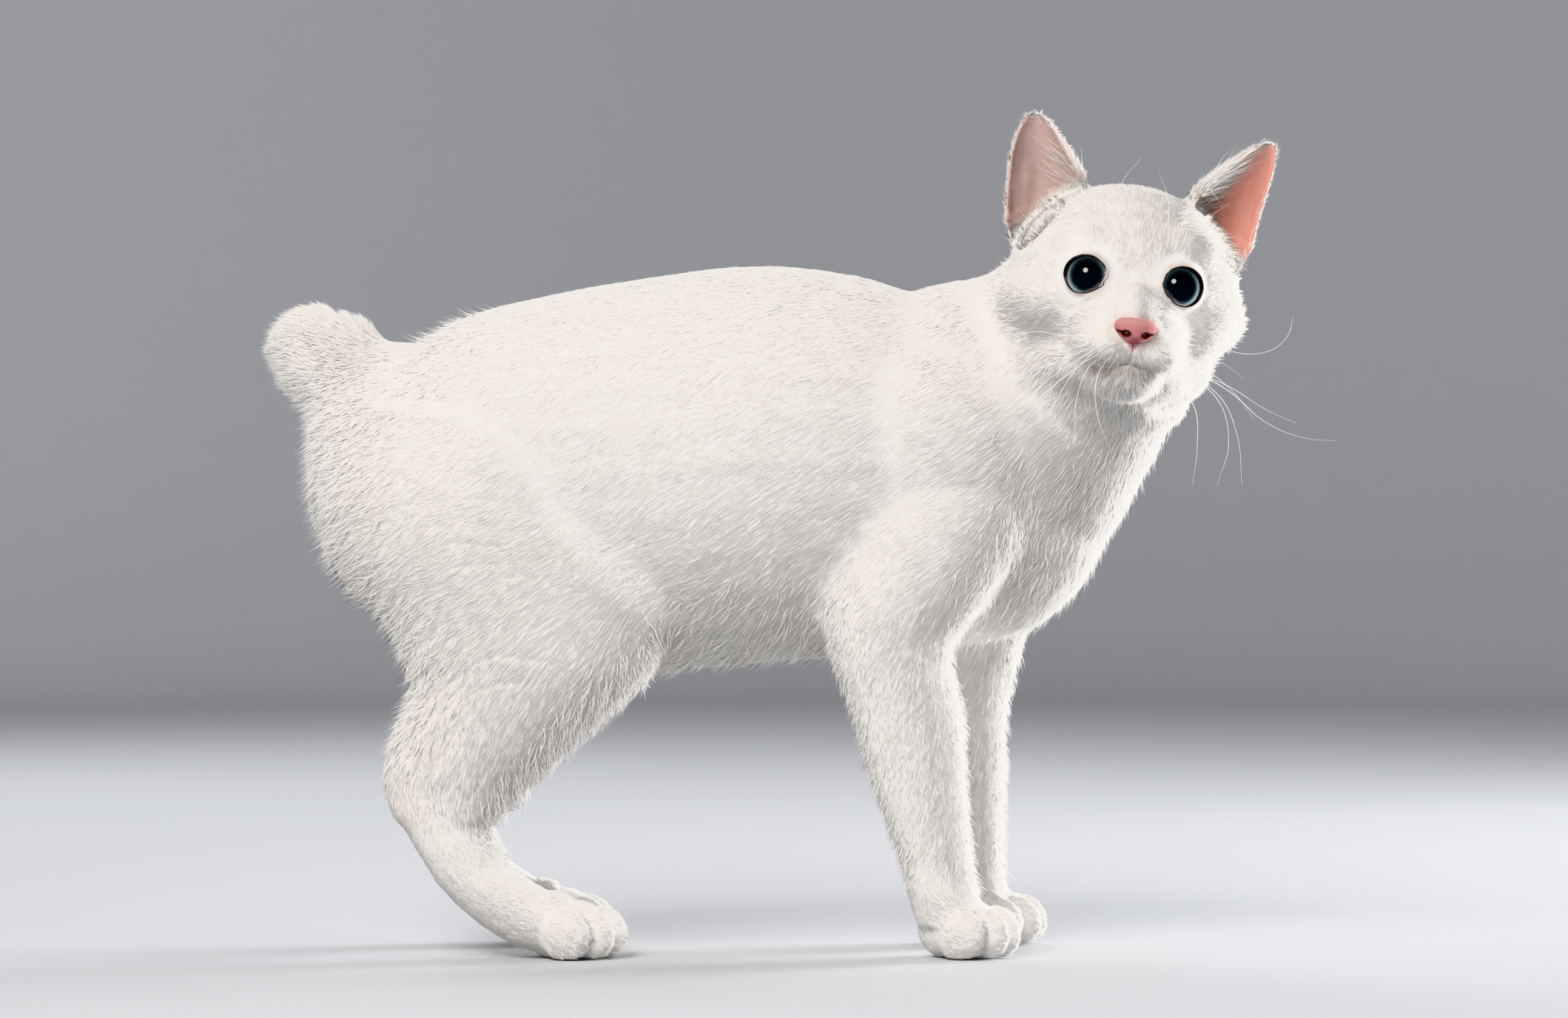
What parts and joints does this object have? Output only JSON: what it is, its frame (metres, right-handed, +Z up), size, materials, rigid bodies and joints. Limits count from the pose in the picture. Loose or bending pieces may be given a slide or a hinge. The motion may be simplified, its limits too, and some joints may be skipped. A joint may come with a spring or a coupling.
{
  "type": "japanese bobtail cat",
  "caption": "Life-size still model of a short-haired white bobtail cat, standing on its paws with its head turned to one side, for display.",
  "frame": {"origin": "on the floor, under the middle of the cat's outline seen from above", "axes": "+X from the tail towards the chest, +Y towards the cat's left, +Z up"},
  "size_m": [0.3782, 0.1434, 0.3148],
  "materials": {
    "fur": "short white fur that lies flat",
    "ear": "short white fur outside, thin pink skin inside",
    "eye": "wet and glossy, dark pupil in a grey-blue iris",
    "nose_leather": "matte pink skin"
  },
  "bodies": {
    "root": {"torso": "fur", "neck": "fur", "head": "fur", "ear_left": "ear", "ear_right": "ear", "eye_left": "eye", "eye_right": "eye", "nose": "nose_leather", "tail": "fur", "foreleg_left": "fur", "foreleg_right": "fur", "forepaw_left": "fur", "forepaw_right": "fur", "hindleg_left": "fur", "hindleg_right": "fur", "hindpaw_left": "fur", "hindpaw_right": "fur"}
  },
  "joints": []
}
